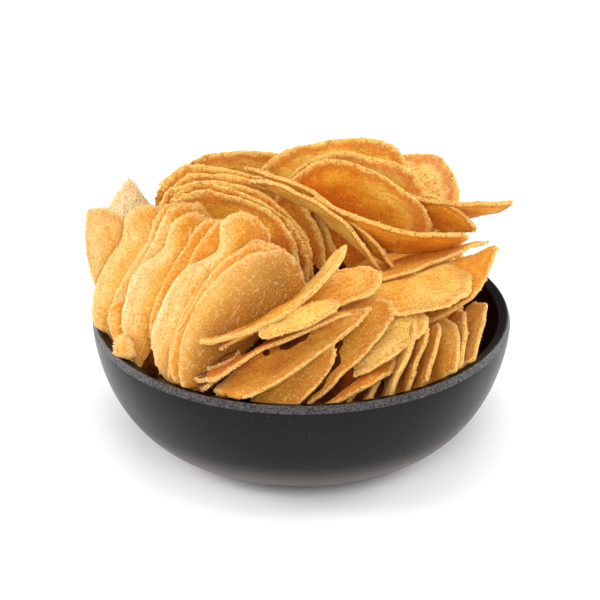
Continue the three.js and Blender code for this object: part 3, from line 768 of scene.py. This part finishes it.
def moundMesh(mound):
    # radius * sqrt(1 - height^curve) across at each height from 0 to 1, with uneven lumps, down to a
    # narrower foot. A lump is sin(around * angle + shift) * sin(down * turn).
    turn = np.linspace(0, math.pi / 2, core["rings"])[:, None]
    angle = np.linspace(0, 2 * math.pi, core["segments"], endpoint=False)
    lumps = 0
    for around, shift, down in core["lumps"]:
        lumps = lumps + np.sin(around * angle + shift) * np.sin(down * turn)
    height = np.cos(turn)
    radius = mound["radius"] * np.sqrt(1 - height ** core["curve"])
    radius = radius + core["bumps"] * lumps * height * np.sin(turn)
    z = core["level"] + (mound["top"] - core["level"]) * height + core["bumps"] * lumps * np.sin(turn)
    upper = np.stack([radius * np.cos(angle), radius * np.sin(angle), z], -1)[1:]
    footRadius = core["footShare"] * mound["radius"]
    footHeight = np.full(len(angle), core["foot"])
    foot = np.stack([footRadius * np.cos(angle), footRadius * np.sin(angle), footHeight], -1)
    grid = np.concatenate([upper, foot[None]])
    points = np.concatenate([grid.reshape(-1, 3), [[0, 0, mound["top"]], [0, 0, core["foot"]]]])
    return points + [*mound["middle"], 0], roundFaces(len(grid), len(angle))


def paintedShadowBedMaterial():
    # dull, in two dark browns of painted shadow
    material, tree, shader = startMaterial("paintedShadowBed", Roughness=core["roughness"], IOR=core["ior"])
    patches = noise(tree, makeNode(tree, "TexCoord").outputs["Object"], **core["patches"])
    base = blended(tree, ramp(tree, patches, *core["patchRange"]), core["darker"], core["dark"])
    tree.links.new(base, shader.inputs["Base Color"])
    tree.links.new(bump(tree, patches, core["patchDepth"]), shader.inputs["Normal"])
    return material


def makeCore():
    # all the mounds as one piece
    allPoints, allFaces = [], []
    for mound in core["mounds"]:
        points, faces = moundMesh(mound)
        start = sum(len(earlier) for earlier in allPoints)
        allFaces += [[corner + start for corner in face] for face in faces]
        allPoints.append(points)
    makePiece("crispBed", np.concatenate(allPoints), allFaces, paintedShadowBedMaterial(), ["crisps"])


makeCore()


# salt, seasoning and crumbs cling to the crisps; edges is the share of them that lies on the rims
grains = {
    "salt": {"count": 3600, "size": (0.14, 0.3), "edges": 0.2, "colour": colour(255, 244, 214), "seed": 11,
             "on": ["crispsLeft", "crispsTop", "crispsFront", "crispsBack"]},
    "seasoning": {"count": 2600, "size": (0.14, 0.26), "edges": 0.2, "colour": colour(214, 104, 24),
                  "seed": 12, "on": ["crispsTop", "crispsFront", "crispsBack"]},
    "crumbs": {"count": 5200, "size": (0.25, 0.55), "edges": 0.95, "colour": colour(246, 198, 120),
               "seed": 13, "on": ["crispsLeft", "crispsTop", "crispsFront", "crispsBack"]},
}
grainShape = {
    "uneven": (0.6, 1.3),  # how far each corner reaches, of its radius
    "rimFrom": 0.97,
    "rimWeight": 6,
    "drift": 0.5,  # millimetres across the face, from the point that it starts at
    "driftWithin": 0.9,  # nearer the rim it stays where it is
    "stand": 0.3,  # how far its middle stands off the face, of its radius
    "roughness": 0.5,
    "tint": colour(236, 170, 84),
    "tintPatches": {"size": 2.5, "detail": 2.0},
    "tintRange": (0.35, 0.65, 0.0, 0.5),
}
octahedron = np.array([[1, 0, 0], [-1, 0, 0], [0, 1, 0], [0, -1, 0], [0, 0, 1], [0, 0, -1]], float)
octahedronFaces = np.array([[0, 2, 4], [2, 1, 4], [1, 3, 4], [3, 0, 4],
                            [2, 0, 5], [1, 2, 5], [3, 1, 5], [0, 3, 5]])


def grainMaterial(name, look):
    # the grains' own colour, tinted in patches
    material, tree, shader = startMaterial(name, Roughness=grainShape["roughness"])
    patches = noise(tree, makeNode(tree, "TexCoord").outputs["Object"], **grainShape["tintPatches"])
    tinted = blended(tree, ramp(tree, patches, *grainShape["tintRange"]), look["colour"], grainShape["tint"])
    tree.links.new(tinted, shader.inputs["Base Color"])
    return material


def scatter(name, look):
    # uneven octahedra: corners = radius * turn @ (octahedron * unevenness), each turned at random and sunk a
    # little into the crisp's face
    random = np.random.default_rng(look["seed"])
    count = look["count"]
    points, normals, rim = [np.concatenate([surfaces[kind][key] for kind in look["on"]])
                            for key in ("points", "normals", "rim")]
    onRim = rim > grainShape["rimFrom"]
    weight = np.where(onRim, look["edges"] * grainShape["rimWeight"], 1 - look["edges"])
    chosen = random.choice(len(points), count, p=weight / weight.sum())
    radius = random.uniform(*look["size"], count)
    turn, _ = np.linalg.qr(random.normal(size=(count, 3, 3)))
    turn *= np.sign(np.linalg.det(turn))[:, None, None]
    shape = octahedron * random.uniform(*grainShape["uneven"], (count, len(octahedron), 1))
    corners = np.einsum("nij,nkj->nki", turn, shape) * radius[:, None, None]
    outwards = normals[chosen]
    drift = random.normal(0, grainShape["drift"], (count, 3))
    drift -= (drift * outwards).sum(1, keepdims=True) * outwards
    drift *= (rim[chosen] < grainShape["driftWithin"])[:, None]
    where = points[chosen] + drift + outwards * radius[:, None] * grainShape["stand"]
    allPoints = (where[:, None, :] + corners).reshape(-1, 3)
    faces = (octahedronFaces + len(octahedron) * np.arange(count)[:, None, None]).reshape(-1, 3)
    makePiece(name, allPoints, faces.tolist(), grainMaterial(name + "Grain", look), ["crisps"])


for name, look in grains.items():
    scatter(name, look)


# floor, lights and camera, in metres and watts
studio = {
    "floor": 4.0,
    "floorColour": colour(250, 250, 250),
    "floorRoughness": 0.9,
    "world": 0.2,
    "aim": (0.0, 0.0, 0.05),
    "lamps": {
        "key": {"at": (-1.0, -0.1, 0.45), "size": 0.4, "power": 4.9},
        "front": {"at": (0.05, -0.9, 0.7), "size": 0.6, "power": 5.2},
        "fill": {"at": (0.4, -0.6, 0.9), "size": 0.8, "power": 2.5},
        "top": {"at": (0.0, 0.1, 1.1), "size": 1.0, "power": 7.8},
        "low": {"at": (0.0, -1.0, 0.12), "size": 0.5, "power": 2.5},
        "left": {"at": (-0.9, 0.4, 0.2), "size": 0.6, "power": 10.0},
        "right": {"at": (0.9, 0.4, 0.2), "size": 0.6, "power": 12.0},
    },
}
camera = {
    "sensor": 36.0,  # millimetres
    "pixels": 600,
    "pixelsPerMetre": 2607.0,
    "shiftRight": -1.5,  # pixels, from the middle of the rim to the middle of the frame
    "shiftUp": 10.4,
}


def makeFloor():
    # one square of matt white paper at the foot's height
    reach = studio["floor"] / 2
    corners = [(-reach, -reach, 0), (reach, -reach, 0), (reach, reach, 0), (-reach, reach, 0)]
    mesh = bpy.data.meshes.new("floor")
    mesh.from_pydata(corners, [], [(0, 1, 2, 3)])
    look = {"Base_Color": studio["floorColour"], "Roughness": studio["floorRoughness"]}
    paper, _, _ = startMaterial("paper", **look)
    mesh.materials.append(paper)
    floor = bpy.data.objects.new("floor", mesh)
    bpy.context.scene.collection.objects.link(floor)


def makeLight():
    # an even white world, and square lamps that all aim at the middle of the rim
    world = bpy.data.worlds.new("studio")
    bpy.context.scene.world = world
    world.use_nodes = True
    background = world.node_tree.nodes["Background"]
    background.inputs["Color"].default_value = (1, 1, 1, 1)
    background.inputs["Strength"].default_value = studio["world"]
    for name, look in studio["lamps"].items():
        light = bpy.data.lights.new(name, "AREA")
        light.energy = look["power"]
        light.size = look["size"]
        lamp = bpy.data.objects.new(name, light)
        bpy.context.scene.collection.objects.link(lamp)
        lamp.location = look["at"]
        lamp.visible_camera = False
        aim = Vector(studio["aim"]) - Vector(look["at"])
        lamp.rotation_euler = aim.to_track_quat("-Z", "Y").to_euler()


def makeCamera():
    # the lens spans pixels / pixelsPerMetre at the middle of the rim, seen from the sight's distance
    lens = bpy.data.cameras.new("camera")
    lens.sensor_width = camera["sensor"]
    distance = sight["distance"] * mm
    lens.lens = camera["sensor"] * camera["pixelsPerMetre"] * distance / camera["pixels"]
    eyeObject = bpy.data.objects.new("camera", lens)
    bpy.context.scene.collection.objects.link(eyeObject)
    bpy.context.scene.camera = eyeObject
    forward = Vector((-sightBack).tolist())
    target = Vector((camera["shiftRight"] / camera["pixelsPerMetre"], 0, bowl["height"] * mm))
    target += Vector(sightUp.tolist()) * (camera["shiftUp"] / camera["pixelsPerMetre"])
    eyeObject.location = target - forward * distance
    eyeObject.rotation_mode = "QUATERNION"
    eyeObject.rotation_quaternion = forward.to_track_quat("-Z", "Y")
    bpy.context.scene.view_settings.view_transform = "Standard"


makeFloor()
makeLight()
makeCamera()
print("studio and camera made")
